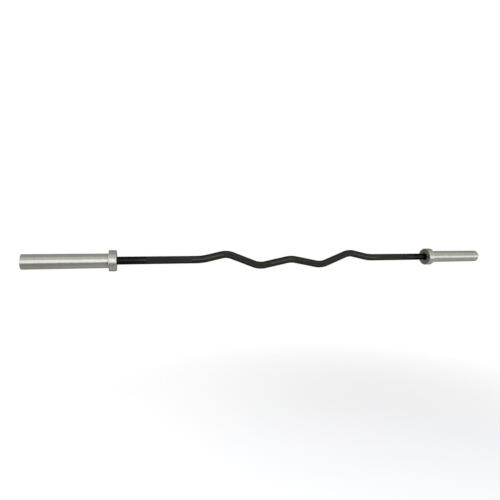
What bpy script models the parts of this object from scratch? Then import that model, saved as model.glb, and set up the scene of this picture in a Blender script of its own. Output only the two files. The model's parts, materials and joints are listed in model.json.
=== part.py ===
"""A rackable curl bar: one bent steel shaft, with a plate sleeve turning on each of its ends.

X runs along the bar and Z is up. The grip bends lie in the XZ plane, with their crests up.
The origin is at mid length, on the axis that both sleeves turn about. Sizes are in metres.
"""

import math

import bmesh
import bpy
from mathutils import Vector

# Overall sizes
BETWEEN_COLLARS = 1.310
LOADABLE_LENGTH = 0.265
SLEEVE_DIAMETER = 0.050
COLLAR_DIAMETER = 0.073
COLLAR_THICKNESS = 0.026
GRIP_DIAMETER = 0.028

# Grip bends: where the straight runs of the centreline would meet, along X and above the axis,
# and the radius of the arc that rounds each meeting
OUTER_BEND_AT = 0.358
OUTER_BEND_RADIUS = 0.200
CREST_AT = 0.263
CREST_HEIGHT = 0.0213
CREST_RADIUS = 0.073
TROUGH_AT = 0.134
TROUGH_HEIGHT = -0.0281
TROUGH_RADIUS = 0.085
MIDDLE_HEIGHT = -0.0015
MIDDLE_RADIUS = 0.100

# Collar: a cup pressed over the sleeve's inner end, whose front wall traps the dust seal
COLLAR_WALL = 0.004
COLLAR_HOLE_CLEARANCE = 0.0008
COLLAR_OUTER_CHAMFER = 0.0015
COLLAR_INNER_ROUND = 0.0035

# Sleeve bore, pockets and ends
BUSHING_BORE = 0.033
SEAL_POCKET_DIAMETER = 0.039
SEAL_POCKET_DEPTH = 0.005
RETAINER_BORE = 0.040
RETAINER_DEPTH = 0.020
CAP_POCKET_DIAMETER = 0.042
CAP_POCKET_DEPTH = 0.009
SLEEVE_CHAMFER = 0.001
BORE_CHAMFER = 0.0005

# Journals of the shaft, turned down from the grip's size
JOURNAL_DIAMETER = 0.026
JOURNAL_OVERLAP = 0.030
JOURNAL_TIP = 0.004
JOURNAL_CHAMFER = 0.0012
SHOULDER_SETBACK = 0.002
RING_GROOVE_DEPTH = 0.001

# Running and retaining pieces
BUSHING_LENGTH = 0.040
BUSHING_CHAMFER = 0.0008
WASHER_THICKNESS = 0.002
SEAL_THICKNESS = 0.004
SEAL_RIM_WIDTH = 0.0015
SEAL_LIP_THICKNESS = 0.0014
CAP_THICKNESS = 0.004
CAP_DISH_DIAMETER = 0.024
CAP_DISH_DEPTH = 0.0012
CAP_CHAMFER = 0.0006
RING_THICKNESS = 0.0015
CAP_GROOVE_DEPTH = 0.001

# Snap rings: radial widths and the half angle of the opening between their lugs
RING_BACK_WIDTH = 0.0034
RING_NECK_WIDTH = 0.0022
RING_LUG_WIDTH = 0.0050
RING_LUG_LENGTH = 0.0052
RING_OPENING = math.radians(11)
RING_HOLE_DIAMETER = 0.0018

# Clearances: between seated faces, and round a running journal
SEAT_GAP = 0.0003
RUNNING_GAP = 0.0002

# How finely round shapes are divided
ROUND_SIDES = 36
BEND_STEP = math.radians(6)
ROUND_STEPS = 3
RING_STEPS = 30
HOLE_SIDES = 10
SHARP_ANGLE = math.radians(30)
WELD_DISTANCE = 0.000001

# Stations along the bar, outward from mid length
COLLAR_FACE = BETWEEN_COLLARS / 2
COLLAR_BACK = COLLAR_FACE + COLLAR_THICKNESS
SLEEVE_END = COLLAR_BACK + LOADABLE_LENGTH
SLEEVE_START = COLLAR_FACE + COLLAR_WALL + SEAT_GAP
SEAL_SEAT = SLEEVE_START + SEAL_POCKET_DEPTH
SHOULDER = SEAL_SEAT + SHOULDER_SETBACK
INNER_WASHER_AT = SHOULDER + SEAT_GAP
INNER_BUSHING_AT = INNER_WASHER_AT + WASHER_THICKNESS + SEAT_GAP
RETAINER_SEAT = SLEEVE_END - RETAINER_DEPTH
OUTER_BUSHING_AT = RETAINER_SEAT - BUSHING_LENGTH
OUTER_WASHER_AT = RETAINER_SEAT + SEAT_GAP
SNAP_GROOVE_AT = OUTER_WASHER_AT + WASHER_THICKNESS + SEAT_GAP
GROOVE_WIDTH = RING_THICKNESS + 2 * SEAT_GAP
JOURNAL_END = SNAP_GROOVE_AT + GROOVE_WIDTH + JOURNAL_TIP
CAP_SEAT = SLEEVE_END - CAP_POCKET_DEPTH
CAP_AT = CAP_SEAT + SEAT_GAP
CAP_GROOVE_AT = CAP_AT + CAP_THICKNESS

# Radii that mating pieces share
GRIP_RADIUS = GRIP_DIAMETER / 2
JOURNAL_RADIUS = JOURNAL_DIAMETER / 2
BUSHING_BORE_RADIUS = BUSHING_BORE / 2
SLEEVE_RADIUS = SLEEVE_DIAMETER / 2
SEAL_POCKET_RADIUS = SEAL_POCKET_DIAMETER / 2
RETAINER_RADIUS = RETAINER_BORE / 2
CAP_POCKET_RADIUS = CAP_POCKET_DIAMETER / 2
SNAP_GROOVE_RADIUS = JOURNAL_RADIUS - RING_GROOVE_DEPTH
CAP_GROOVE_RADIUS = CAP_POCKET_RADIUS + CAP_GROOVE_DEPTH


def clear_scene():
    for obj in list(bpy.data.objects):
        bpy.data.objects.remove(obj)


def new_collection(name):
    made = bpy.data.collections.new(name)
    bpy.context.scene.collection.children.link(made)
    return made


def new_material(name, colour, roughness, metallic):
    material = bpy.data.materials.new(name)
    material.use_nodes = True
    shader = material.node_tree.nodes["Principled BSDF"]
    shader.inputs["Base Color"].default_value = (*colour, 1.0)
    shader.inputs["Roughness"].default_value = roughness
    shader.inputs["Metallic"].default_value = metallic
    return material


def arc_between(before, corner, after, radius, steps):
    """Points of the arc that rounds a corner of a line, from one straight run to the next."""
    back = (before - corner).normalized()
    ahead = (after - corner).normalized()
    half = back.angle(ahead) / 2
    centre = corner + (back + ahead).normalized() * radius / math.sin(half)
    reach = radius / math.tan(half)
    start = (corner + back * reach - centre).normalized()
    end = (corner + ahead * reach - centre).normalized()
    return [centre + start.slerp(end, step / steps) * radius for step in range(steps + 1)]


def eased_outline(corners, closed):
    """An outline through (along, radius, ease, steps) corners, each eased by an arc of that many steps."""
    points = [Vector((along, radius)) for along, radius, _, _ in corners]
    outline = []
    for index, (_, _, ease, steps) in enumerate(corners):
        at_end = not closed and index in (0, len(corners) - 1)
        if ease == 0 or at_end:
            outline.append(points[index])
        else:
            after = points[(index + 1) % len(points)]
            outline += arc_between(points[index - 1], points[index], after, ease, steps)
    return outline


def sharp(along, radius):
    return (along, radius, 0, 0)


def chamfered(along, radius, size):
    return (along, radius, size, 1)


def rounded(along, radius, size):
    return (along, radius, size, ROUND_STEPS)


def smooth_round(obj):
    """Takes the modifiers' result as the object's mesh, smooth but for its sharp edges."""
    graph = bpy.context.evaluated_depsgraph_get()
    mesh = bpy.data.meshes.new_from_object(obj.evaluated_get(graph))
    obj.modifiers.clear()
    obj.data = mesh
    mesh.shade_smooth()
    mesh.set_sharp_from_angle(angle=SHARP_ANGLE)


def turned(name, corners, material, side, collection, closed=True):
    """A turned piece on the sleeve axis. Its corners run down the outer side, from the bar's end inward."""
    outline = eased_outline(corners, closed)
    count = len(outline)
    edges = [(index, (index + 1) % count) for index in range(count if closed else count - 1)]
    mesh = bpy.data.meshes.new(name)
    mesh.from_pydata([(radius, 0, along) for along, radius in outline], edges, [])
    mesh.materials.append(material)
    obj = bpy.data.objects.new(name, mesh)
    collection.objects.link(obj)
    obj.parent = side
    turn = obj.modifiers.new("turn", "SCREW")
    turn.axis = "Z"
    turn.angle = math.tau
    turn.steps = ROUND_SIDES
    turn.render_steps = ROUND_SIDES
    turn.use_merge_vertices = True
    turn.merge_threshold = WELD_DISTANCE
    bpy.context.view_layer.update()
    smooth_round(obj)
    return obj


def bend_path():
    """The grip's centreline: straight runs joined by arcs, from one shoulder to the other."""
    half = [
        (OUTER_BEND_AT, 0, OUTER_BEND_RADIUS),
        (CREST_AT, CREST_HEIGHT, CREST_RADIUS),
        (TROUGH_AT, TROUGH_HEIGHT, TROUGH_RADIUS),
    ]
    bends = [(-along, height, radius) for along, height, radius in half]
    bends += [(0, MIDDLE_HEIGHT, MIDDLE_RADIUS)]
    bends += list(reversed(half))
    meetings = [Vector((along, height)) for along, height, _ in bends]
    corners = [Vector((-SHOULDER, 0)), *meetings, Vector((SHOULDER, 0))]
    path = [corners[0]]
    for index, (_, _, radius) in enumerate(bends):
        before, corner, after = corners[index:index + 3]
        turn = (corner - before).angle(after - corner)
        steps = max(2, math.ceil(turn / BEND_STEP))
        path += arc_between(before, corner, after, radius, steps)
    return path + [corners[-1]]


def bent_grip(material, collection):
    """The bent part of the shaft, swept along its centreline and made one welded mesh."""
    curve = bpy.data.curves.new("grip_line", "CURVE")
    curve.dimensions = "3D"
    curve.bevel_depth = GRIP_RADIUS
    curve.bevel_resolution = ROUND_SIDES // 2 - 2
    curve.use_fill_caps = True
    path = bend_path()
    line = curve.splines.new("POLY")
    line.points.add(len(path) - 1)
    for point, (along, height) in zip(line.points, path):
        point.co = (along, 0, height, 1)
    guide = bpy.data.objects.new("grip_line", curve)
    collection.objects.link(guide)
    graph = bpy.context.evaluated_depsgraph_get()
    mesh = bpy.data.meshes.new_from_object(guide.evaluated_get(graph))
    welded = bmesh.new()
    welded.from_mesh(mesh)
    bmesh.ops.remove_doubles(welded, verts=welded.verts, dist=WELD_DISTANCE)
    welded.to_mesh(mesh)
    welded.free()
    mesh.materials.clear()
    mesh.materials.append(material)
    grip = bpy.data.objects.new("shaft", mesh)
    grip.matrix_world = guide.matrix_world
    collection.objects.link(grip)
    bpy.data.objects.remove(guide)
    return grip


def journal(side, material, cutters):
    """The turned end of the shaft, with the groove for its snap ring, which the bent grip is joined to."""
    groove_far = SNAP_GROOVE_AT + GROOVE_WIDTH
    corners = [
        sharp(JOURNAL_END, 0),
        chamfered(JOURNAL_END, JOURNAL_RADIUS, JOURNAL_CHAMFER),
        sharp(groove_far, JOURNAL_RADIUS),
        sharp(groove_far, SNAP_GROOVE_RADIUS),
        sharp(SNAP_GROOVE_AT, SNAP_GROOVE_RADIUS),
        sharp(SNAP_GROOVE_AT, JOURNAL_RADIUS),
        sharp(SHOULDER - JOURNAL_OVERLAP, JOURNAL_RADIUS),
        sharp(SHOULDER - JOURNAL_OVERLAP, 0),
    ]
    name = side.name.replace("side", "journal")
    made = turned(name, corners, material, side, cutters, closed=False)
    made.hide_render = True
    made.display_type = "WIRE"
    return made


def shaft(sides, material, collection, cutters):
    """One steel bar: the bent grip joined to a turned journal at each end."""
    bar = bent_grip(material, collection)
    for side in sides:
        join = bar.modifiers.new("join_journal", "BOOLEAN")
        join.operation = "UNION"
        join.object = journal(side, material, cutters)
    bpy.context.view_layer.update()
    smooth_round(bar)


def sleeve(name, side, material, collection):
    """The plate sleeve: a tube, with stepped bores for what it holds."""
    groove_far = CAP_GROOVE_AT + GROOVE_WIDTH
    corners = [
        chamfered(SLEEVE_END, CAP_POCKET_RADIUS, BORE_CHAMFER),
        chamfered(SLEEVE_END, SLEEVE_RADIUS, SLEEVE_CHAMFER),
        chamfered(SLEEVE_START, SLEEVE_RADIUS, BORE_CHAMFER),
        chamfered(SLEEVE_START, SEAL_POCKET_RADIUS, BORE_CHAMFER),
        sharp(SEAL_SEAT, SEAL_POCKET_RADIUS),
        chamfered(SEAL_SEAT, BUSHING_BORE_RADIUS, BORE_CHAMFER),
        chamfered(RETAINER_SEAT, BUSHING_BORE_RADIUS, BORE_CHAMFER),
        sharp(RETAINER_SEAT, RETAINER_RADIUS),
        sharp(CAP_SEAT, RETAINER_RADIUS),
        sharp(CAP_SEAT, CAP_POCKET_RADIUS),
        sharp(CAP_GROOVE_AT, CAP_POCKET_RADIUS),
        sharp(CAP_GROOVE_AT, CAP_GROOVE_RADIUS),
        sharp(groove_far, CAP_GROOVE_RADIUS),
        sharp(groove_far, CAP_POCKET_RADIUS),
    ]
    turned(name, corners, material, side, collection)


def collar(name, side, material, collection):
    """The collar that plates rest against: a cup over the sleeve's end, its front wall close to the shaft."""
    hole = GRIP_RADIUS + COLLAR_HOLE_CLEARANCE
    bore = SLEEVE_RADIUS + SEAT_GAP
    corners = [
        chamfered(COLLAR_BACK, bore, BORE_CHAMFER),
        chamfered(COLLAR_BACK, COLLAR_DIAMETER / 2, COLLAR_OUTER_CHAMFER),
        rounded(COLLAR_FACE, COLLAR_DIAMETER / 2, COLLAR_INNER_ROUND),
        chamfered(COLLAR_FACE, hole, BORE_CHAMFER),
        sharp(COLLAR_FACE + COLLAR_WALL, hole),
        sharp(COLLAR_FACE + COLLAR_WALL, bore),
    ]
    turned(name, corners, material, side, collection)


def dust_seal(name, side, material, collection):
    """A rubber ring pressed in the sleeve's pocket, whose thin lip runs on the shaft."""
    back = SEAL_SEAT - SEAT_GAP
    front = back - SEAL_THICKNESS
    outer = SEAL_POCKET_RADIUS - SEAT_GAP
    corners = [
        sharp(back, outer - SEAL_RIM_WIDTH),
        sharp(back, outer),
        sharp(front, outer),
        sharp(front, GRIP_RADIUS + RUNNING_GAP),
        sharp(front + SEAL_LIP_THICKNESS / 2, GRIP_RADIUS + RUNNING_GAP),
        sharp(front + SEAL_LIP_THICKNESS, outer - SEAL_RIM_WIDTH),
    ]
    turned(name, corners, material, side, collection)


def bushing(name, start, side, material, collection):
    """A bronze bushing pressed in the sleeve, which runs on the journal."""
    inner = JOURNAL_RADIUS + RUNNING_GAP
    outer = BUSHING_BORE_RADIUS - SEAT_GAP
    end = start + BUSHING_LENGTH
    corners = [
        chamfered(end, inner, BUSHING_CHAMFER),
        chamfered(end, outer, BUSHING_CHAMFER),
        chamfered(start, outer, BUSHING_CHAMFER),
        chamfered(start, inner, BUSHING_CHAMFER),
    ]
    turned(name, corners, material, side, collection)


def thrust_washer(name, start, hole_radius, side, material, collection):
    """A steel washer on the journal that takes the sleeve's end thrust."""
    inner = JOURNAL_RADIUS + RUNNING_GAP
    outer = hole_radius - SEAT_GAP
    end = start + WASHER_THICKNESS
    corners = [sharp(end, inner), sharp(end, outer), sharp(start, outer), sharp(start, inner)]
    turned(name, corners, material, side, collection)


def end_cap(name, side, material, collection):
    """The plug of the sleeve's end, a disc with a shallow dish."""
    front = CAP_AT + CAP_THICKNESS
    radius = CAP_POCKET_RADIUS - SEAT_GAP
    dish = CAP_DISH_DIAMETER / 2
    corners = [
        sharp(front - CAP_DISH_DEPTH, 0),
        sharp(front - CAP_DISH_DEPTH, dish - CAP_DISH_DEPTH),
        sharp(front, dish),
        chamfered(front, radius, CAP_CHAMFER),
        sharp(CAP_AT, radius),
        sharp(CAP_AT, 0),
    ]
    turned(name, corners, material, side, collection, closed=False)


def add_outline(curve, points):
    line = curve.splines.new("POLY")
    line.points.add(len(points) - 1)
    for point, (across, up) in zip(line.points, points):
        point.co = (across, up, 0, 1)
    line.use_cyclic_u = True


def circle_points(centre, radius, sides):
    angles = [math.tau * index / sides for index in range(sides)]
    return [(centre[0] + radius * math.cos(a), centre[1] + radius * math.sin(a)) for a in angles]


def snap_ring(name, seat_radius, outward, middle, side, material, collection):
    """A snap ring seated at one radius, widening to its back, with a holed lug each side of its opening.

    outward is 1 where the ring grips a shaft, and -1 where it springs out into a bore.
    """
    lug_radius = seat_radius + outward * RING_LUG_WIDTH / 2
    lug_angle = RING_LUG_LENGTH / lug_radius
    neck = RING_OPENING + lug_angle
    sweep = math.tau - 2 * neck
    seat_edge = []
    free_edge = []
    for step in range(RING_STEPS + 1):
        angle = neck + sweep * step / RING_STEPS
        back_share = (1 - math.cos(angle)) / 2
        width = RING_NECK_WIDTH + (RING_BACK_WIDTH - RING_NECK_WIDTH) * back_share
        seat_edge.append((seat_radius, angle))
        free_edge.append((seat_radius + outward * width, angle))
    lug_edge = seat_radius + outward * RING_LUG_WIDTH
    first_lug = [(lug_edge, neck), (lug_edge, RING_OPENING), (seat_radius, RING_OPENING)]
    last_lug = [(radius, math.tau - angle) for radius, angle in reversed(first_lug)]
    polar = free_edge[::-1] + first_lug + seat_edge + last_lug
    curve = bpy.data.curves.new(name, "CURVE")
    curve.dimensions = "2D"
    curve.fill_mode = "BOTH"
    curve.extrude = RING_THICKNESS / 2
    add_outline(curve, [(r * math.cos(a), r * math.sin(a)) for r, a in polar])
    for angle in (RING_OPENING + lug_angle / 2, -RING_OPENING - lug_angle / 2):
        hole_at = (lug_radius * math.cos(angle), lug_radius * math.sin(angle))
        add_outline(curve, circle_points(hole_at, RING_HOLE_DIAMETER / 2, HOLE_SIDES))
    curve.materials.append(material)
    obj = bpy.data.objects.new(name, curve)
    collection.objects.link(obj)
    obj.parent = side
    obj.location.z = middle


def sleeve_assembly(side, materials, collection):
    """All that goes on one journal, each piece at its own station."""
    prefix = side.name.replace("side", "")
    sleeve(prefix + "sleeve", side, materials["sleeve"], collection)
    collar(prefix + "collar", side, materials["collar"], collection)
    dust_seal(prefix + "dust_seal", side, materials["rubber"], collection)
    bronze = materials["bronze"]
    bushing(prefix + "inner_bushing", INNER_BUSHING_AT, side, bronze, collection)
    bushing(prefix + "outer_bushing", OUTER_BUSHING_AT, side, bronze, collection)
    steel = materials["washer"]
    inner_washer = prefix + "inner_thrust_washer"
    outer_washer = prefix + "outer_thrust_washer"
    thrust_washer(inner_washer, INNER_WASHER_AT, BUSHING_BORE_RADIUS, side, steel, collection)
    thrust_washer(outer_washer, OUTER_WASHER_AT, RETAINER_RADIUS, side, steel, collection)
    end_cap(prefix + "end_cap", side, materials["cap"], collection)
    spring = materials["spring"]
    snap_at = SNAP_GROOVE_AT + GROOVE_WIDTH / 2
    cap_ring_at = CAP_GROOVE_AT + GROOVE_WIDTH / 2
    snap_seat = SNAP_GROOVE_RADIUS + SEAT_GAP
    cap_seat = CAP_GROOVE_RADIUS - SEAT_GAP
    snap_ring(prefix + "snap_ring", snap_seat, 1, snap_at, side, spring, collection)
    snap_ring(prefix + "cap_ring", cap_seat, -1, cap_ring_at, side, spring, collection)


def new_side(name, sign, collection):
    """An empty on the sleeve axis whose Z points out of that end of the bar."""
    side = bpy.data.objects.new(name, None)
    side.rotation_euler.y = sign * math.pi / 2
    collection.objects.link(side)
    return side


def main():
    clear_scene()
    parts = new_collection("olympic_ez_bar")
    cutters = new_collection("cutters")
    black = new_material("black_steel", (0.022, 0.021, 0.018), 0.42, 0.6)
    materials = {
        "sleeve": new_material("satin_steel", (0.60, 0.59, 0.56), 0.32, 1.0),
        "collar": new_material("collar_steel", (0.56, 0.55, 0.52), 0.36, 1.0),
        "bronze": new_material("bronze", (0.58, 0.36, 0.15), 0.40, 1.0),
        "washer": new_material("washer_steel", (0.42, 0.42, 0.42), 0.45, 1.0),
        "spring": new_material("spring_steel", (0.06, 0.06, 0.06), 0.40, 1.0),
        "rubber": new_material("seal_rubber", (0.015, 0.015, 0.015), 0.75, 0.0),
        "cap": new_material("cap_steel", (0.50, 0.49, 0.47), 0.40, 1.0),
    }
    sides = [new_side("left_side", -1, parts), new_side("right_side", 1, parts)]
    bpy.context.view_layer.update()
    shaft(sides, black, parts, cutters)
    for side in sides:
        sleeve_assembly(side, materials, parts)


main()
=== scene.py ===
"""The looks of a long curl bar: a knurled black shaft with satin steel sleeves and collars.

The bar hangs 1.2 m above a pale floor, nearly level with the camera. Sizes are in metres. X runs
along the bar, Z is up and the grip bends lie in the XZ plane.
"""

import json
import math

import bmesh
import bpy
import numpy as np
from mathutils import Matrix, Vector

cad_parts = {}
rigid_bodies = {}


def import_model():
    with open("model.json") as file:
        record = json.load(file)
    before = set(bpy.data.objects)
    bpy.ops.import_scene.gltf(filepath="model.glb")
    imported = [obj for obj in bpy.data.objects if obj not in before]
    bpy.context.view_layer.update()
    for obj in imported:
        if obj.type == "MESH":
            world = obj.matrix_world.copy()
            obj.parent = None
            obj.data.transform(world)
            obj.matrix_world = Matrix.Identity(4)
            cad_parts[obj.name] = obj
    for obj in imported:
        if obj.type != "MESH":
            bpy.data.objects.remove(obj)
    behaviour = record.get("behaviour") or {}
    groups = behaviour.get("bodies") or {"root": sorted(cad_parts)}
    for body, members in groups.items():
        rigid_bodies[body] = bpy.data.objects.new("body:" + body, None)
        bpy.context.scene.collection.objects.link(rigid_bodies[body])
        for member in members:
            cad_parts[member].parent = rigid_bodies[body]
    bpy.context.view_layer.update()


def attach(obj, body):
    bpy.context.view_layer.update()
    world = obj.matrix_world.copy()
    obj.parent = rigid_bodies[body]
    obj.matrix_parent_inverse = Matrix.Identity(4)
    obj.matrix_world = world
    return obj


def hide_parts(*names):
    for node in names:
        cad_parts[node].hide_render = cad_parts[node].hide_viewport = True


# A new file has objects of its own, which don't belong here
for leftover in list(bpy.data.objects):
    bpy.data.objects.remove(leftover)

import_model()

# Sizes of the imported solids, which the pieces here follow
COLLAR_FACE = 0.655
COLLAR_BACK = 0.681
SLEEVE_START = 0.6593
SLEEVE_END = 0.946
SEAL_SEAT = 0.6643
SHOULDER = 0.6663
INNER_WASHER_AT = 0.6666
INNER_BUSHING_AT = 0.6689
OUTER_BUSHING_AT = 0.886
RETAINER_SEAT = 0.926
OUTER_WASHER_AT = 0.9263
SNAP_GROOVE_AT = 0.9286
GROOVE_WIDTH = 0.0021
JOURNAL_END = 0.9347
CAP_SEAT = 0.937
CAP_AT = 0.9373
CAP_GROOVE_AT = 0.9413
BUSHING_LENGTH = 0.040
WASHER_THICKNESS = 0.002
CAP_THICKNESS = 0.004
RING_THICKNESS = 0.0015

SLEEVE_RADIUS = 0.025
COLLAR_RADIUS = 0.0365
COLLAR_WALL = 0.004
COLLAR_HOLE = 0.0148
GRIP_RADIUS = 0.014
JOURNAL_RADIUS = 0.013
BUSHING_BORE = 0.0165
SEAL_POCKET = 0.0195
RETAINER_BORE = 0.020
CAP_POCKET = 0.021
SNAP_GROOVE_RADIUS = 0.012
CAP_GROOVE_RADIUS = 0.022
SEAT_GAP = 0.0003
RUNNING_GAP = 0.0002
SLEEVE_CHAMFER = 0.001
COLLAR_CHAMFER = 0.0015
SHOULDER_CHAMFER = 0.0006
JOURNAL_CHAMFER = 0.0012
SEAL_THICKNESS = 0.004
SEAL_RIM_WIDTH = 0.0015
SEAL_LIP_WIDTH = 0.0007
SEAL_WEB = 0.0014
DISH_DEPTH = 0.0012
DISH_RADIUS = 0.012
DISH_SLOPE = 0.0012

# Snap rings: widths at the back, beside the lugs and of the lugs, and the lugs' length and holes
RING_BACK_WIDTH = 0.0034
RING_NECK_WIDTH = 0.0022
LUG_WIDTH = 0.0050
LUG_LENGTH = 0.0052
LUG_HOLE_RADIUS = 0.0009
LUG_HOLE_SIDES = 20
HALF_OPENING = math.radians(11)
RING_STEPS = 60

# How much each kind of edge is rounded
FINE_EASE = 0.0002
SMALL_EASE = 0.0003
SLEEVE_EASE = 0.0004
COLLAR_EASE = 0.0005
COLLAR_FACE_EASE = 0.0035
DISH_EASE = 0.0006
BUSHING_EASE = 0.0007

# Grip bends: where the straight runs of the centreline meet, and the radii that round them
BEND_CORNERS = [(0.0, -0.0015), (0.134, -0.0281), (0.263, 0.0213), (0.358, 0.0)]
BEND_RADII = [0.100, 0.085, 0.073, 0.200]

# Knurling: its bands along the centreline from mid length, and its diamonds
KNURL_BANDS = [(0.0904, 0.2884), (0.4080, 0.5688)]
KNURL_ROW = 0.0012
KNURL_DEPTH = 0.00034
KNURL_TIP = 0.00004
SHAFT_COLUMNS = 112
LONGEST_STEP = 0.020
BEND_STEP = math.radians(2)

# The shaft's finishes, in the order of its materials
SMOOTH, KNURLED, JOURNAL = 0, 1, 2

# Turned pieces
ROUND_SIDES = 144
HIDDEN_SIDES = 72
EDGE_STEPS = 3
EDGE_GUARD = 0.0003
FACES_INWARD = 0.9
SHARP_ANGLE = math.radians(40)
WELD_DISTANCE = 1e-6
SAME_PLACE = 1e-9
UV_NAME = "OFBake"

# Camera, fitted to the photograph
CAMERA_AT = (-0.6108, -1.3711, 0.0828)
CAMERA_YAW = 17.734
CAMERA_PITCH = 1.931
CAMERA_ROLL = 0.283
CAMERA_LENS = 26.97
SENSOR_WIDTH = 36.0

# How bright the edges of bare steel and of the black coat stay
STEEL_RIM = 0.25
COAT_RIM = 0.35

# Noise: as large in all directions, and the values between which most of it lies
EVEN = (1.0, 1.0, 1.0)
MOST_OF_NOISE = (0.3, 0.7)

# Heights of the finest grain
TURNED_GRAIN = 0.000015
MACHINED_GRAIN = 0.00002
RUBBER_GRAIN = 0.00002
COAT_GRAIN = 0.00002

# A mix node's sockets: for two colours and their mix, and for two values and theirs
COLOUR_SOCKETS = (6, 7, 2)
VALUE_SOCKETS = (2, 3, 0)

# Bare turned steel: name, darker and lighter tone, roughness, streaking of its shine, scuffs
SLEEVE_STEEL = ("satin_sleeve_steel", (0.355, 0.348, 0.30), (0.395, 0.387, 0.335), 0.38, 0.90, 0.3)
COLLAR_STEEL = ("satin_collar_steel", (0.345, 0.338, 0.29), (0.39, 0.382, 0.33), 0.40, 0.86, 0.15)
# Steel of the collar's face toward mid length: the collar's steel darkened as painted shade and a
# painted dark reflection
FACE_STEEL_PAINTED_SHADE = (
    "collar_face_steel_painted_shade", (0.075, 0.073, 0.065), (0.125, 0.123, 0.108), 0.44, 0.8, 0.1
)
CAP_STEEL = ("bare_cap_steel", (0.30, 0.295, 0.26), (0.38, 0.37, 0.32), 0.42, 0.7, 0.1)

# Machined metal: name, darker and lighter tone, roughness
BRONZE = ("machined_bronze", (0.46, 0.28, 0.11), (0.60, 0.38, 0.16), 0.38)
WASHER_STEEL = ("ground_washer_steel", (0.36, 0.36, 0.36), (0.46, 0.46, 0.45), 0.36)
JOURNAL_STEEL = ("ground_journal_steel", (0.36, 0.355, 0.34), (0.45, 0.44, 0.42), 0.28)
SPRING_STEEL = ("blackened_spring_steel", (0.05, 0.05, 0.05), (0.08, 0.08, 0.08), 0.42)

# Rubber: name, darker, middle and lighter tone
SEAL_RUBBER = (
    "seal_rubber_black", (0.012, 0.012, 0.012), (0.016, 0.016, 0.016), (0.022, 0.022, 0.021)
)

# Black coat: name, deep and grey tone, roughness, and the grey of the rest as a share of the right
# end's.
# The knurling's grey is lightened towards the right end as painted light
DEEP_BLACK = (0.008, 0.008, 0.0075)
SMOOTH_COAT = ("black_coat", DEEP_BLACK, (0.0315, 0.030, 0.0245), 0.21, 1.0)
KNURLED_COAT = ("black_coat_knurled", DEEP_BLACK, (0.0395, 0.0373, 0.030), 0.38, 0.667)

# Where the coat's grey length darkens towards the collars as painted shade, each side of mid
# length, as (from, to, share of the grey at from, share of the grey at to)
PAINTED_SHADE_FADE = (0.38, 0.52, 1.0, 0.68)
PAINTED_SHADE_AT_COLLARS = (0.55, 0.60, 1.0, 0.1)

# Where the knurling on the right grows lighter than the rest, as painted light
PAINTED_LIGHT_RIGHT_FROM = (0.30, 0.44)

# Floor, and the distances from its centre over which it fades out
FLOOR_AT = (0.75, 0.40, -1.2)
FLOOR_RADIUS = 3.0
FLOOR_SIDES = 96
FLOOR_COLOUR = (0.80, 0.80, 0.795)
FLOOR_FADE = (0.8, 2.4)

# Room: its brightness, and what is added to it by a direction's height, each as (from, to, added
# at from, added at to). The wall and the skirting also have a range from left to right
ROOM_BRIGHTNESS = 0.52
OVERHEAD = (-0.3, 0.9, 0.0, 0.22)
UNDERFOOT = (-0.75, -0.2, -0.08, 0.0)
RIGHT_WALL = (-0.7, 0.3, 0.75, 0.16)
RIGHT_WALL_FROM = (0.2, 0.7)
LEFT_SKIRTING_DARK = (-0.63, -0.5, -0.15, 0.0)
LEFT_SKIRTING_LIGHT = (-0.84, -0.72, 0.17, 0.0)
LEFT_SKIRTING_TO = (0.1, 0.5)

# The white backdrop: where it begins, for the light on the bar and for what shiny pieces mirror
BACKDROP_BRIGHTNESS = 1.0
BACKDROP_FROM = (0.50, 0.66)
MIRRORED_FROM = (0.32, 0.52)

# Lamps: name, centre, place each faces, width, height, radiance, colour
COOL_LEFT = (0.95, 0.99, 1.175)
COOL_RIGHT = (0.97, 0.99, 1.12)
WHITE = (1.0, 1.0, 1.0)
WATTS_PER_RADIANCE = 4
LAMPS = [
    ("front_softbox", (-0.78, -2.3, 0.235), (-0.78, 0.0, 0.235), 3.54, 1.83, 1.80, COOL_LEFT),
    ("right_softbox", (2.9, -2.3, -0.35), (2.9, 0.0, -0.35), 2.8, 1.50, 1.88, COOL_RIGHT),
    ("upper_softbox", (0.4, -1.5, 1.75), (0.4, 0.0, 0.0), 5.0, 2.1, 0.45, WHITE),
    ("left_softbox", (-3.2, 1.0, 0.35), (0.0, 1.0, 0.35), 3.4, 2.6, 2.8, WHITE),
]


def new_material(name, colour, roughness, metallic, specular=0.5, rim=1.0):
    """A node material and its Principled shader. rim is how bright a metal's edges stay."""
    material = bpy.data.materials.new(name)
    material.use_nodes = True
    shader = material.node_tree.nodes["Principled BSDF"]
    shader.inputs["Base Color"].default_value = (*colour, 1.0)
    shader.inputs["Roughness"].default_value = roughness
    shader.inputs["Metallic"].default_value = metallic
    shader.inputs["Specular IOR Level"].default_value = specular
    shader.inputs["Specular Tint"].default_value = (rim, rim, rim, 1.0)
    return material, shader


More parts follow.
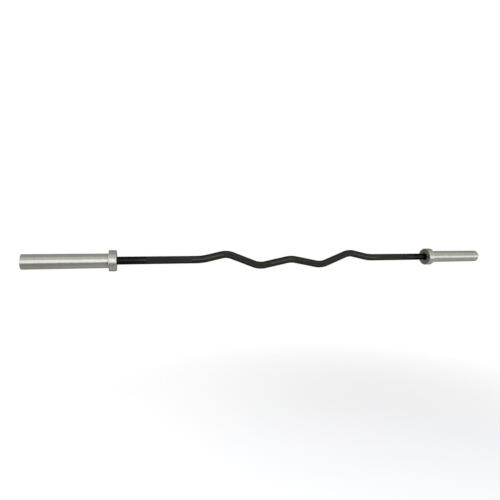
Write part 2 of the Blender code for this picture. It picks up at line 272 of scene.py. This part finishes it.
class Weave:
    """Adds nodes to a material or world, one short call each."""

    def __init__(self, owner):
        self.tree = owner.node_tree

    def node(self, kind, **values):
        made = self.tree.nodes.new(kind)
        for name, value in values.items():
            setattr(made, name, value)
        return made

    def link(self, output, target):
        self.tree.links.new(output, target)

    def place(self, scale):
        """The piece's own coordinates, stretched by a scale for each axis."""
        coordinates = self.node("ShaderNodeTexCoord")
        mapping = self.node("ShaderNodeMapping")
        mapping.inputs["Scale"].default_value = scale
        self.link(coordinates.outputs["Object"], mapping.inputs["Vector"])
        return mapping.outputs["Vector"]

    def noise(self, scale, size, detail, rough):
        """Noise at the given size over coordinates that are stretched by a scale."""
        noise = self.node("ShaderNodeTexNoise")
        noise.inputs["Scale"].default_value = size
        noise.inputs["Detail"].default_value = detail
        noise.inputs["Roughness"].default_value = rough
        self.link(self.place(scale), noise.inputs["Vector"])
        return noise.outputs["Fac"]

    def spread(self, value, low, high, to_low, to_high):
        """A value's range mapped to another, clamped."""
        mapped = self.node("ShaderNodeMapRange")
        mapped.inputs["From Min"].default_value = low
        mapped.inputs["From Max"].default_value = high
        mapped.inputs["To Min"].default_value = to_low
        mapped.inputs["To Max"].default_value = to_high
        self.link(value, mapped.inputs["Value"])
        return mapped.outputs["Result"]

    def tint(self, value, low, high):
        """A colour between two, by a value."""
        mixed = self.node("ShaderNodeMix", data_type="RGBA")
        first, second, result = COLOUR_SOCKETS
        self.link(value, mixed.inputs[0])
        mixed.inputs[first].default_value = (*low, 1.0)
        mixed.inputs[second].default_value = (*high, 1.0)
        return mixed.outputs[result]

    def around(self, value, middle, swing):
        """Noise turned into a number that swings to each side of its middle."""
        return self.spread(value, *MOST_OF_NOISE, middle - swing, middle + swing)

    def math(self, operation, first, second):
        """The result of an operation on two values, each an output or a number."""
        made = self.node("ShaderNodeMath", operation=operation)
        for socket, value in zip(made.inputs, (first, second)):
            if isinstance(value, (int, float)):
                socket.default_value = value
            else:
                self.link(value, socket)
        return made.outputs["Value"]

    def bump(self, height, distance):
        """A normal that follows a height, up to a distance."""
        made = self.node("ShaderNodeBump")
        made.inputs["Distance"].default_value = distance
        self.link(height, made.inputs["Height"])
        return made.outputs["Normal"]


def turned_steel(name, dark, light, roughness, anisotropy, scuffs):
    """Turned steel: fine rings round the axis, shine streaked along it, and scuffs from plates."""
    material, shader = new_material(name, light, roughness, metallic=1.0, rim=STEEL_RIM)
    weave = Weave(material)
    rings = weave.noise((1.0, 0.004, 0.004), size=1500.0, detail=4.0, rough=0.62)
    bands = weave.noise((1.0, 0.01, 0.01), size=60.0, detail=3.0, rough=0.55)
    smudge = weave.noise(EVEN, size=16.0, detail=4.0, rough=0.6)
    scrapes = weave.noise((6.0, 260.0, 260.0), size=1.0, detail=3.0, rough=0.7)
    scuff = weave.spread(scrapes, 0.56, 0.72, 0.0, scuffs)
    banded = weave.math("MULTIPLY", bands, 0.45)
    tone = weave.math("ADD", banded, weave.math("MULTIPLY", smudge, 0.55))
    tone = weave.spread(tone, 0.36, 0.64, 0.0, 1.0)
    tone = weave.math("SUBTRACT", tone, weave.math("MULTIPLY", scuff, 0.5))
    weave.link(weave.tint(tone, dark, light), shader.inputs["Base Color"])
    rough = weave.around(rings, roughness, swing=0.05)
    rough = weave.math("ADD", rough, weave.math("MULTIPLY", scuff, 0.12))
    weave.link(rough, shader.inputs["Roughness"])
    weave.link(weave.bump(rings, TURNED_GRAIN), shader.inputs["Normal"])
    tangent = weave.node("ShaderNodeTangent", direction_type="RADIAL", axis="X")
    weave.link(tangent.outputs["Tangent"], shader.inputs["Tangent"])
    shader.inputs["Anisotropic"].default_value = anisotropy
    shader.inputs["Anisotropic Rotation"].default_value = 0.25
    return material


def black_coat(name, deep, coat_grey, roughness, share_without_painted_light):
    """Black coated steel: grey and cloudy, darkened to deep black towards the collars as painted
    shade.

    share_without_painted_light is the grey of the rest as a share of the right end's, which is
    lightened as painted light.
    """
    material, shader = new_material(name, coat_grey, roughness, metallic=1.0, rim=COAT_RIM)
    weave = Weave(material)
    cloud = weave.noise(EVEN, size=22.0, detail=5.0, rough=0.6)
    fine = weave.noise(EVEN, size=900.0, detail=3.0, rough=0.6)
    axes = weave.node("ShaderNodeSeparateXYZ")
    weave.link(weave.place(EVEN), axes.inputs["Vector"])
    along = weave.math("ABSOLUTE", axes.outputs["X"], 0.0)
    # Painted shade: the coat darkens towards the collars and turns deep black beside them
    shade_towards_collars = weave.spread(along, *PAINTED_SHADE_FADE)
    painted_light_and_shade = weave.math("MULTIPLY", shade_towards_collars, weave.spread(along, *PAINTED_SHADE_AT_COLLARS))
    # Painted light: the knurling grows lighter towards the right end
    painted_light_right = weave.spread(axes.outputs["X"], *PAINTED_LIGHT_RIGHT_FROM, share_without_painted_light, 1.0)
    painted_light_and_shade = weave.math("MULTIPLY", painted_light_and_shade, painted_light_right)
    shade = weave.math("MULTIPLY", painted_light_and_shade, weave.spread(cloud, 0.35, 0.68, 0.68, 1.0))
    weave.link(weave.tint(shade, deep, coat_grey), shader.inputs["Base Color"])
    weave.link(weave.around(cloud, roughness, swing=0.04), shader.inputs["Roughness"])
    weave.link(weave.bump(fine, COAT_GRAIN), shader.inputs["Normal"])
    return material


def plain_metal(name, dark, light, roughness):
    """Machined metal with fine rings round the axis and a slight change of tone."""
    material, shader = new_material(name, light, roughness, metallic=1.0)
    weave = Weave(material)
    rings = weave.noise((1.0, 0.01, 0.01), size=1200.0, detail=3.0, rough=0.6)
    tone = weave.noise(EVEN, size=60.0, detail=4.0, rough=0.6)
    tone = weave.spread(tone, 0.35, 0.65, 0.0, 1.0)
    weave.link(weave.tint(tone, dark, light), shader.inputs["Base Color"])
    weave.link(weave.around(rings, roughness, swing=0.06), shader.inputs["Roughness"])
    weave.link(weave.bump(rings, MACHINED_GRAIN), shader.inputs["Normal"])
    return material


def moulded_rubber(name, dark, middle, light):
    """Matt black rubber with a fine grain."""
    material, shader = new_material(name, middle, roughness=0.7, metallic=0.0, specular=0.3)
    weave = Weave(material)
    fine = weave.noise(EVEN, size=1400.0, detail=3.0, rough=0.6)
    tone = weave.noise(EVEN, size=80.0, detail=3.0, rough=0.5)
    weave.link(weave.tint(tone, dark, light), shader.inputs["Base Color"])
    weave.link(weave.spread(fine, *MOST_OF_NOISE, 0.62, 0.8), shader.inputs["Roughness"])
    weave.link(weave.bump(fine, RUBBER_GRAIN), shader.inputs["Normal"])
    return material


def finish_mesh(obj, flat=None):
    """Shades a piece smooth but for its sharp edges. flat marks the faces that stay faceted."""
    mesh = obj.data
    mesh.shade_smooth()
    mesh.set_sharp_from_angle(angle=SHARP_ANGLE)
    if flat is not None:
        mesh.polygons.foreach_set("use_smooth", ~flat)
    mesh.update()


def new_piece(name, mesh, body, nodes):
    """An object that rides on a body and replaces its solids."""
    obj = bpy.data.objects.new(name, mesh)
    bpy.context.scene.collection.objects.link(obj)
    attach(obj, body)
    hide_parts(*nodes)
    return obj


def arc_points(before, corner, after, ease, steps):
    """Points of the arc that rounds a corner of an outline."""
    back = (before - corner).normalized()
    ahead = (after - corner).normalized()
    half = back.angle(ahead) / 2
    centre = corner + (back + ahead).normalized() * ease / math.sin(half)
    reach = ease / math.tan(half)
    start = (corner + back * reach - centre).normalized()
    end = (corner + ahead * reach - centre).normalized()
    return [centre + start.slerp(end, step / steps) * ease for step in range(steps + 1)]


def guarded(outline, closed):
    """The outline with a point near each end of its long runs, which keeps their shading even."""
    count = len(outline)
    result = []
    for index, point in enumerate(outline):
        result.append(point)
        if index == count - 1 and not closed:
            break
        after = outline[(index + 1) % count]
        run = (after - point).length
        if run > 4 * EDGE_GUARD:
            inward = (after - point).normalized() * EDGE_GUARD
            result += [point + inward, after - inward]
    return result


def eased(corners, closed):
    """An outline through (along, radius, ease) corners, each rounded by its ease."""
    points = [Vector(corner[:2]) for corner in corners]
    outline = []
    for index, corner in enumerate(corners):
        ease = corner[2] if len(corner) > 2 else 0
        at_end = not closed and index in (0, len(corners) - 1)
        if ease == 0 or at_end:
            outline.append(points[index])
        else:
            after = points[(index + 1) % len(points)]
            outline += arc_points(points[index - 1], points[index], after, ease, EDGE_STEPS)
    return guarded(outline, closed)


def lathe(name, corners, sign, sides, closed):
    """A mesh turned about the X axis, with its own map of length by angle."""
    outline = eased(corners, closed)
    rows = []
    vertices = []
    for along, radius in outline:
        if radius < SAME_PLACE:
            rows.append([len(vertices)] * sides)
            vertices.append((sign * along, 0, 0))
            continue
        rows.append(list(range(len(vertices), len(vertices) + sides)))
        for column in range(sides):
            angle = math.tau * column / sides
            vertices.append((sign * along, radius * math.cos(angle), radius * math.sin(angle)))
    lengths = [0.0]
    pairs = list(zip(range(len(rows)), range(1, len(rows))))
    if closed:
        pairs.append((len(rows) - 1, 0))
    for first, second in pairs:
        lengths.append(lengths[-1] + (outline[second] - outline[first]).length)
    faces = []
    places = []
    for index, (first, second) in enumerate(pairs):
        low = lengths[index] / lengths[-1]
        high = lengths[index + 1] / lengths[-1]
        for column in range(sides):
            after = (column + 1) % sides
            left = column / sides
            right = (column + 1) / sides
            near, far = rows[first], rows[second]
            face = [near[column], far[column], far[after], near[after]]
            place = [(low, left), (high, left), (high, right), (low, right)]
            if face[0] == face[3]:
                face, place = face[:3], place[:3]
            if face[1] == face[2]:
                face, place = [face[0], face[1], face[3]], [place[0], place[1], place[3]]
            faces.append(face)
            places += place
    mesh = bpy.data.meshes.new(name)
    mesh.from_pydata(vertices, [], faces)
    layer = mesh.uv_layers.new(name=UV_NAME)
    layer.uv.foreach_set("vector", np.array(places, np.float32).ravel())
    outward = bmesh.new()
    outward.from_mesh(mesh)
    bmesh.ops.recalc_face_normals(outward, faces=outward.faces)
    outward.to_mesh(mesh)
    outward.free()
    return mesh


def turned(name, corners, side, sides, body, node, material, closed=True, face=None):
    """One turned piece in place of a solid of its side. face is the material of the faces toward
    mid length, which on the collar is steel darkened as painted shade.
    """
    prefix, sign = side
    mesh = lathe(prefix + name, corners, sign, sides, closed)
    mesh.materials.append(material)
    if face is not None:
        mesh.materials.append(face)
        for polygon in mesh.polygons:
            if polygon.normal.x * sign < -FACES_INWARD:
                polygon.material_index = 1
    finish_mesh(new_piece(prefix + name, mesh, body, [prefix + node]))


class BendLine:
    """The shaft's centreline as straight runs and arcs, measured from mid length to one end."""

    def __init__(self):
        mirror = (-BEND_CORNERS[1][0], BEND_CORNERS[1][1])
        corners = [Vector(corner) for corner in [mirror, *BEND_CORNERS, (JOURNAL_END, 0.0)]]
        self.spans = []
        here = 0.0
        start = None
        for before, corner, after, radius in zip(corners, corners[1:], corners[2:], BEND_RADII):
            heading_in = math.atan2(corner.y - before.y, corner.x - before.x)
            heading_out = math.atan2(after.y - corner.y, after.x - corner.x)
            turn = heading_out - heading_in
            reach = radius * math.tan(abs(turn) / 2)
            into = (corner - before).normalized()
            arc_start = corner - into * reach
            if start is None:
                middle_turn = turn / 2
                top = corner.y + math.copysign(radius / math.cos(middle_turn) - radius, turn)
                arc = math.copysign(radius, turn)
                self.spans.append((here, abs(middle_turn) * radius, Vector((0.0, top)), 0.0, arc))
                here += abs(middle_turn) * radius
            else:
                run = (arc_start - start).length
                self.spans.append((here, run, start, heading_in, 0.0))
                here += run
                arc = math.copysign(radius, turn)
                self.spans.append((here, abs(turn) * radius, arc_start, heading_in, arc))
                here += abs(turn) * radius
            start = corner + (after - corner).normalized() * reach
        last = corners[-1]
        self.spans.append((here, (last - start).length, start, 0.0, 0.0))
        self.length = here + (last - start).length

    def at(self, distance):
        """The point and heading at a distance from mid length, which is negative on the left."""
        sign = -1 if distance < 0 else 1
        distance = abs(distance)
        begin, _, start, heading, arc = next(
            span for span in reversed(self.spans) if distance >= span[0] - SAME_PLACE
        )
        gone = distance - begin
        if arc == 0:
            point = start + Vector((math.cos(heading), math.sin(heading))) * gone
        else:
            centre = start + Vector((-math.sin(heading), math.cos(heading))) * arc
            heading += gone / arc
            point = centre - Vector((-math.sin(heading), math.cos(heading))) * arc
        return Vector((sign * point.x, point.y)), sign * heading

    def stops(self, begin, end):
        """Distances from begin to end, close together on bends and further apart on straights."""
        found = {begin, end}
        for start, length, _, _, arc in self.spans:
            step = LONGEST_STEP if arc == 0 else BEND_STEP * abs(arc)
            count = max(1, math.ceil(length / step))
            for index in range(count + 1):
                distance = start + length * index / count
                if begin + 2 * EDGE_GUARD < distance < end - 2 * EDGE_GUARD:
                    found.add(distance)
        return sorted(found)

    def to_distance(self, along):
        """The distance from mid length of a place on the last straight run."""
        return self.length - (JOURNAL_END - along)


def shaft_rings(line):
    """Rings of the shaft from mid length to the right end, as (distance, radii, what follows).

    A ring's two radii are those of its even and of its odd columns.
    """
    plain = (GRIP_RADIUS, GRIP_RADIUS)
    tip = GRIP_RADIUS - KNURL_TIP
    groove = GRIP_RADIUS - KNURL_DEPTH
    rings = []
    here = 0.0
    for begin, end in KNURL_BANDS:
        rings += [(distance, plain, SMOOTH) for distance in line.stops(here, begin)[:-1]]
        rows = round((end - begin) / KNURL_ROW)
        for row in range(rows + 1):
            radii = (tip, groove) if row % 2 else (groove, tip)
            if row in (0, rows):
                radii = plain
            rings.append((begin + row * KNURL_ROW, radii, KNURLED if row < rows else SMOOTH))
        here = begin + rows * KNURL_ROW
    shoulder = line.to_distance(SHOULDER)
    for distance in line.stops(here, shoulder - SHOULDER_CHAMFER)[1:]:
        rings.append((distance, plain, SMOOTH))
    groove_far = SNAP_GROOVE_AT + GROOVE_WIDTH
    ends = [
        (SHOULDER, GRIP_RADIUS - SHOULDER_CHAMFER),
        (SHOULDER, JOURNAL_RADIUS),
        (SHOULDER + EDGE_GUARD, JOURNAL_RADIUS),
        (SNAP_GROOVE_AT - EDGE_GUARD, JOURNAL_RADIUS),
        (SNAP_GROOVE_AT, JOURNAL_RADIUS),
        (SNAP_GROOVE_AT, SNAP_GROOVE_RADIUS),
        (groove_far, SNAP_GROOVE_RADIUS),
        (groove_far, JOURNAL_RADIUS),
        (JOURNAL_END - JOURNAL_CHAMFER, JOURNAL_RADIUS),
        (JOURNAL_END, JOURNAL_RADIUS - JOURNAL_CHAMFER),
    ]
    rings += [(line.to_distance(along), (radius, radius), JOURNAL) for along, radius in ends]
    return rings


def ring_points(line, rings):
    """The shaft's points, one row for each ring."""
    angles = np.arange(SHAFT_COLUMNS) * math.tau / SHAFT_COLUMNS
    even = np.arange(SHAFT_COLUMNS) % 2 == 0
    points = np.empty((len(rings), SHAFT_COLUMNS, 3))
    for index, (distance, radii, _) in enumerate(rings):
        centre, heading = line.at(distance)
        radius = np.where(even, radii[0], radii[1])
        across = radius * np.cos(angles)
        up = radius * np.sin(angles)
        points[index, :, 0] = centre.x - up * math.sin(heading)
        points[index, :, 1] = across
        points[index, :, 2] = centre.y + up * math.cos(heading)
    return points.reshape(-1, 3)


def even_is_low(ring, after):
    """Whether a ring's even columns are low in the knurling. A plain ring goes by the next one."""
    low, high = ring[1]
    if low == high:
        return after[1][0] > after[1][1]
    return low < high


def ring_faces(rings):
    """The shaft's faces, their finishes and their places on its map."""
    columns = SHAFT_COLUMNS
    start = rings[0][0]
    total = rings[-1][0] - start
    faces = []
    kinds = []
    places = []
    for index, (ring, following) in enumerate(zip(rings, rings[1:])):
        kind = ring[2]
        low = (ring[0] - start) / total
        high = (following[0] - start) / total
        for column in range(columns):
            after = (column + 1) % columns
            left = column / columns
            right = (column + 1) / columns
            a = index * columns + column
            b = (index + 1) * columns + column
            c = (index + 1) * columns + after
            d = index * columns + after
            pa, pb, pc, pd = (low, left), (high, left), (high, right), (low, right)
            if kind != KNURLED:
                faces.append((a, b, c, d))
                places += [pa, pb, pc, pd]
                kinds.append(kind)
            elif even_is_low(ring, following) == (column % 2 == 0):
                faces += [(a, b, c), (a, c, d)]
                places += [pa, pb, pc, pa, pc, pd]
                kinds += [kind, kind]
            else:
                faces += [(a, b, d), (b, c, d)]
                places += [pa, pb, pd, pb, pc, pd]
                kinds += [kind, kind]
    last = (len(rings) - 1) * columns
    faces.append(tuple(range(columns)))
    faces.append(tuple(range(last + columns - 1, last - 1, -1)))
    for cap in (0.0, 1.0):
        places += [(cap, column / columns) for column in range(columns)]
    kinds += [JOURNAL, JOURNAL]
    return faces, kinds, places


def knurled_shaft(coat, knurl, bare):
    """The whole shaft as one swept mesh, with its knurling cut as real diamonds."""
    line = BendLine()
    half = shaft_rings(line)
    mirrored = []
    for index in range(len(half) - 1, 0, -1):
        distance, radii, _ = half[index]
        mirrored.append((-distance, radii, half[index - 1][2]))
    rings = mirrored + half
    faces, kinds, places = ring_faces(rings)
    mesh = bpy.data.meshes.new("knurled_shaft")
    mesh.from_pydata(ring_points(line, rings).tolist(), [], faces)
    layer = mesh.uv_layers.new(name=UV_NAME)
    layer.uv.foreach_set("vector", np.array(places, np.float32).ravel())
    for material in (coat, knurl, bare):
        mesh.materials.append(material)
    kinds = np.array(kinds)
    mesh.polygons.foreach_set("material_index", kinds)
    mesh.flip_normals()
    obj = new_piece("knurled_shaft", mesh, "shaft", ["shaft"])
    finish_mesh(obj, flat=kinds == KNURLED)


def ring_outlines(seat, outward):
    """A snap ring's outline and those of its two holes, as lists of (across, up).

    seat is the radius that sits in the groove, and outward is 1 where the ring widens outward.
    """
    lug_radius = seat + outward * LUG_WIDTH / 2
    lug_angle = LUG_LENGTH / lug_radius
    neck = HALF_OPENING + lug_angle
    sweep = math.tau - 2 * neck
    seat_edge = []
    free_edge = []
    for step in range(RING_STEPS + 1):
        angle = neck + sweep * step / RING_STEPS
        grown = (1 - math.cos(angle)) / 2
        width = RING_NECK_WIDTH + (RING_BACK_WIDTH - RING_NECK_WIDTH) * grown
        seat_edge.append((seat, angle))
        free_edge.append((seat + outward * width, angle))
    lug_edge = seat + outward * LUG_WIDTH
    first_lug = [(lug_edge, neck), (lug_edge, HALF_OPENING), (seat, HALF_OPENING)]
    last_lug = [(radius, math.tau - angle) for radius, angle in reversed(first_lug)]
    polar = free_edge[::-1] + first_lug + seat_edge + last_lug
    outlines = [[(r * math.cos(a), r * math.sin(a)) for r, a in polar]]
    for angle in (HALF_OPENING + lug_angle / 2, -HALF_OPENING - lug_angle / 2):
        across = lug_radius * math.cos(angle)
        up = lug_radius * math.sin(angle)
        turns = [math.tau * index / LUG_HOLE_SIDES for index in range(LUG_HOLE_SIDES)]
        outlines.append([
            (across + LUG_HOLE_RADIUS * math.cos(turn), up + LUG_HOLE_RADIUS * math.sin(turn))
            for turn in turns
        ])
    return outlines


def snap_ring(name, seat, outward, middle, side, body, node, material):
    """A stamped snap ring that widens to its back, with a holed lug each side of its opening."""
    prefix, sign = side
    curve = bpy.data.curves.new(prefix + name, "CURVE")
    curve.dimensions = "2D"
    curve.fill_mode = "BOTH"
    curve.extrude = RING_THICKNESS / 2
    for outline in ring_outlines(seat, outward):
        spline = curve.splines.new("POLY")
        spline.points.add(len(outline) - 1)
        for point, (across, up) in zip(spline.points, outline):
            point.co = (across, up, 0, 1)
        spline.use_cyclic_u = True
    flat = bpy.data.objects.new(prefix + name, curve)
    bpy.context.scene.collection.objects.link(flat)
    graph = bpy.context.evaluated_depsgraph_get()
    mesh = bpy.data.meshes.new_from_object(flat.evaluated_get(graph))
    bpy.data.objects.remove(flat)
    upright = Matrix.Rotation(sign * math.pi / 2, 4, "Y")
    mesh.transform(Matrix.Translation((sign * middle, 0, 0)) @ upright)
    mesh.materials.clear()
    mesh.materials.append(material)
    welded = bmesh.new()
    welded.from_mesh(mesh)
    bmesh.ops.remove_doubles(welded, verts=welded.verts, dist=WELD_DISTANCE)
    bmesh.ops.recalc_face_normals(welded, faces=welded.faces)
    welded.to_mesh(mesh)
    welded.free()
    finish_mesh(new_piece(prefix + name, mesh, body, [prefix + node]))


def build_side(side, looks):
    """All the pieces of one end."""
    prefix, _ = side
    body = prefix + "sleeve"
    groove_far = CAP_GROOVE_AT + GROOVE_WIDTH
    seat_bore = SLEEVE_RADIUS + SEAT_GAP
    turned("plate_sleeve", [
        (SLEEVE_END, CAP_POCKET, SLEEVE_EASE),
        (SLEEVE_END, SLEEVE_RADIUS - SLEEVE_CHAMFER, SLEEVE_EASE),
        (SLEEVE_END - SLEEVE_CHAMFER, SLEEVE_RADIUS, SLEEVE_EASE),
        (SLEEVE_START, SLEEVE_RADIUS, SLEEVE_EASE),
        (SLEEVE_START, SEAL_POCKET, SMALL_EASE),
        (SEAL_SEAT, SEAL_POCKET),
        (SEAL_SEAT, BUSHING_BORE, SLEEVE_EASE),
        (RETAINER_SEAT, BUSHING_BORE, SLEEVE_EASE),
        (RETAINER_SEAT, RETAINER_BORE),
        (CAP_SEAT, RETAINER_BORE),
        (CAP_SEAT, CAP_POCKET),
        (CAP_GROOVE_AT, CAP_POCKET),
        (CAP_GROOVE_AT, CAP_GROOVE_RADIUS),
        (groove_far, CAP_GROOVE_RADIUS),
        (groove_far, CAP_POCKET),
    ], side, ROUND_SIDES, body, "sleeve", looks["sleeve"])
    turned("plate_collar", [
        (COLLAR_BACK, seat_bore, SLEEVE_EASE),
        (COLLAR_BACK, COLLAR_RADIUS - COLLAR_CHAMFER, COLLAR_EASE),
        (COLLAR_BACK - COLLAR_CHAMFER, COLLAR_RADIUS, COLLAR_EASE),
        (COLLAR_FACE, COLLAR_RADIUS, COLLAR_FACE_EASE),
        (COLLAR_FACE, COLLAR_HOLE, COLLAR_EASE),
        (COLLAR_FACE + COLLAR_WALL, COLLAR_HOLE),
        (COLLAR_FACE + COLLAR_WALL, seat_bore),
    ], side, ROUND_SIDES, body, "collar", looks["collar"], face=looks["face"])
    seal_back = SEAL_SEAT - SEAT_GAP
    seal_front = seal_back - SEAL_THICKNESS
    seal_rim = SEAL_POCKET - SEAT_GAP
    seal_lip = GRIP_RADIUS + RUNNING_GAP
    turned("seal_ring", [
        (seal_back, seal_rim - SEAL_RIM_WIDTH, FINE_EASE),
        (seal_back, seal_rim, FINE_EASE),
        (seal_front, seal_rim, SMALL_EASE),
        (seal_front, seal_lip, FINE_EASE),
        (seal_front + SEAL_LIP_WIDTH, seal_lip, FINE_EASE),
        (seal_front + SEAL_WEB, seal_rim - SEAL_RIM_WIDTH, SMALL_EASE),
    ], side, HIDDEN_SIDES, body, "dust_seal", looks["rubber"])
    running = JOURNAL_RADIUS + RUNNING_GAP
    rim = BUSHING_BORE - SEAT_GAP
    for name, start in (("inner_bushing", INNER_BUSHING_AT), ("outer_bushing", OUTER_BUSHING_AT)):
        end = start + BUSHING_LENGTH
        turned(name + "_sleeve", [
            (end, running, BUSHING_EASE),
            (end, rim, BUSHING_EASE),
            (start, rim, BUSHING_EASE),
            (start, running, BUSHING_EASE),
        ], side, HIDDEN_SIDES, body, name, looks["bronze"])
    for name, start, hole in (
        ("inner_thrust_washer", INNER_WASHER_AT, BUSHING_BORE),
        ("outer_thrust_washer", OUTER_WASHER_AT, RETAINER_BORE),
    ):
        end = start + WASHER_THICKNESS
        rim = hole - SEAT_GAP
        turned(name + "_disc", [
            (end, running, FINE_EASE),
            (end, rim, SMALL_EASE),
            (start, rim, SMALL_EASE),
            (start, running, FINE_EASE),
        ], side, HIDDEN_SIDES, "shaft", name, looks["washer"])
    cap_front = CAP_AT + CAP_THICKNESS
    cap_rim = CAP_POCKET - SEAT_GAP
    turned("sleeve_cap", [
        (cap_front - DISH_DEPTH, 0),
        (cap_front - DISH_DEPTH, DISH_RADIUS - DISH_SLOPE, DISH_EASE),
        (cap_front, DISH_RADIUS, DISH_EASE),
        (cap_front, cap_rim, COLLAR_EASE),
        (CAP_AT, cap_rim, FINE_EASE),
        (CAP_AT, 0),
    ], side, ROUND_SIDES, body, "end_cap", looks["cap"], closed=False)
    spring = looks["spring"]
    seat = SNAP_GROOVE_RADIUS + SEAT_GAP
    middle = SNAP_GROOVE_AT + GROOVE_WIDTH / 2
    snap_ring("shaft_snap_ring", seat, 1, middle, side, "shaft", "snap_ring", spring)
    seat = CAP_GROOVE_RADIUS - SEAT_GAP
    middle = CAP_GROOVE_AT + GROOVE_WIDTH / 2
    snap_ring("cap_snap_ring", seat, -1, middle, side, body, "cap_ring", spring)


def softbox(name, centre, target, width, height, radiance, colour):
    """An area lamp that faces a point, as bright as the radiance says."""
    lamp = bpy.data.lights.new(name, "AREA")
    lamp.color = colour
    lamp.shape = "RECTANGLE"
    lamp.size = width
    lamp.size_y = height
    lamp.energy = radiance * width * height * WATTS_PER_RADIANCE
    obj = bpy.data.objects.new(name, lamp)
    obj.location = centre
    facing = Vector(target) - Vector(centre)
    obj.rotation_euler = facing.to_track_quat("-Z", "Y").to_euler()
    obj.visible_camera = False
    bpy.context.scene.collection.objects.link(obj)


def build_floor():
    """A pale round floor below the bar, which fades out before its rim."""
    mesh = bpy.data.meshes.new("floor")
    turns = [math.tau * index / FLOOR_SIDES for index in range(FLOOR_SIDES)]
    points = [(FLOOR_RADIUS * math.cos(turn), FLOOR_RADIUS * math.sin(turn), 0) for turn in turns]
    mesh.from_pydata(points, [], [list(range(FLOOR_SIDES))])
    floor = bpy.data.objects.new("floor", mesh)
    floor.location = FLOOR_AT
    bpy.context.scene.collection.objects.link(floor)
    material, shader = new_material(
        "pale_floor", FLOOR_COLOUR, roughness=0.8, metallic=0.0, specular=0.2
    )
    weave = Weave(material)
    length = weave.node("ShaderNodeVectorMath", operation="LENGTH")
    weave.link(weave.place(EVEN), length.inputs[0])
    fade = weave.spread(length.outputs["Value"], *FLOOR_FADE, 1.0, 0.0)
    weave.link(fade, shader.inputs["Alpha"])
    mesh.materials.append(material)


def room_light(weave, direction):
    """The grey room's brightness in a direction.

    It is paler overhead and on the right, darker underfoot, and has a dark band low on the left.
    """
    axes = weave.node("ShaderNodeSeparateXYZ")
    weave.link(direction, axes.inputs["Vector"])
    rise = weave.spread(axes.outputs["Z"], *OVERHEAD)
    dip = weave.spread(axes.outputs["Z"], *UNDERFOOT)
    wall = weave.spread(axes.outputs["Z"], *RIGHT_WALL)
    side = weave.math("MULTIPLY", weave.spread(axes.outputs["X"], *RIGHT_WALL_FROM, 0.0, 1.0), wall)
    darker = weave.spread(axes.outputs["Z"], *LEFT_SKIRTING_DARK)
    lighter = weave.spread(axes.outputs["Z"], *LEFT_SKIRTING_LIGHT)
    on_left = weave.spread(axes.outputs["X"], *LEFT_SKIRTING_TO, 1.0, 0.0)
    skirting = weave.math("MULTIPLY", on_left, weave.math("ADD", darker, lighter))
    room = weave.math("ADD", ROOM_BRIGHTNESS, dip)
    room = weave.math("ADD", room, weave.math("ADD", rise, side))
    return weave.math("ADD", room, skirting)


def backdrop_share(weave, direction):
    """How far a ray sees the white backdrop: the camera everywhere, other rays behind the bar.

    What shiny pieces mirror shows a little more of it.
    """
    towards = weave.node("ShaderNodeVectorMath", operation="DOT_PRODUCT")
    yaw = math.radians(CAMERA_YAW)
    towards.inputs[1].default_value = (math.sin(yaw), math.cos(yaw), 0.0)
    weave.link(direction, towards.inputs[0])
    rays = weave.node("ShaderNodeLightPath").outputs
    shiny = weave.math("MAXIMUM", rays["Is Glossy Ray"], rays["Is Transmission Ray"])
    behind = weave.spread(towards.outputs["Value"], *BACKDROP_FROM, 0.0, 1.0)
    wider = weave.spread(towards.outputs["Value"], *MIRRORED_FROM, 0.0, 1.0)
    mirrored = weave.math("MULTIPLY", shiny, wider)
    seen = weave.math("MAXIMUM", behind, mirrored)
    return weave.math("MAXIMUM", rays["Is Camera Ray"], seen)


def build_world():
    """Even studio light: a grey room with a white backdrop behind the bar."""
    world = bpy.data.worlds.new("studio")
    bpy.context.scene.world = world
    world.use_nodes = True
    weave = Weave(world)
    direction = weave.node("ShaderNodeTexCoord").outputs["Generated"]
    room = room_light(weave, direction)
    share = backdrop_share(weave, direction)
    mixed = weave.node("ShaderNodeMix", data_type="FLOAT")
    first, second, result = VALUE_SOCKETS
    weave.link(share, mixed.inputs[0])
    weave.link(room, mixed.inputs[first])
    mixed.inputs[second].default_value = BACKDROP_BRIGHTNESS
    weave.link(mixed.outputs[result], world.node_tree.nodes["Background"].inputs["Color"])


def build_camera():
    """The camera at the photograph's viewing angle."""
    yaw, pitch, roll = (math.radians(turn) for turn in (CAMERA_YAW, CAMERA_PITCH, CAMERA_ROLL))
    flat = math.cos(pitch)
    ahead = Vector((math.sin(yaw) * flat, math.cos(yaw) * flat, -math.sin(pitch)))
    level = Vector((math.cos(yaw), -math.sin(yaw), 0))
    above = level.cross(ahead)
    right = level * math.cos(roll) + above * math.sin(roll)
    up = above * math.cos(roll) - level * math.sin(roll)
    data = bpy.data.cameras.new("camera")
    data.lens = CAMERA_LENS
    data.sensor_width = SENSOR_WIDTH
    camera = bpy.data.objects.new("camera", data)
    turn = Matrix((right, up, -ahead)).transposed().to_4x4()
    camera.matrix_world = Matrix.Translation(CAMERA_AT) @ turn
    bpy.context.scene.collection.objects.link(camera)
    bpy.context.scene.camera = camera


def main():
    bpy.context.scene.view_settings.view_transform = "Standard"
    looks = {
        "sleeve": turned_steel(*SLEEVE_STEEL),
        "collar": turned_steel(*COLLAR_STEEL),
        "face": turned_steel(*FACE_STEEL_PAINTED_SHADE),
        "cap": turned_steel(*CAP_STEEL),
        "bronze": plain_metal(*BRONZE),
        "washer": plain_metal(*WASHER_STEEL),
        "journal": plain_metal(*JOURNAL_STEEL),
        "spring": plain_metal(*SPRING_STEEL),
        "rubber": moulded_rubber(*SEAL_RUBBER),
    }
    knurled_shaft(black_coat(*SMOOTH_COAT), black_coat(*KNURLED_COAT), looks["journal"])
    for side in (("left_", -1), ("right_", 1)):
        build_side(side, looks)
    build_floor()
    build_world()
    for lamp in LAMPS:
        softbox(*lamp)
    build_camera()


main()
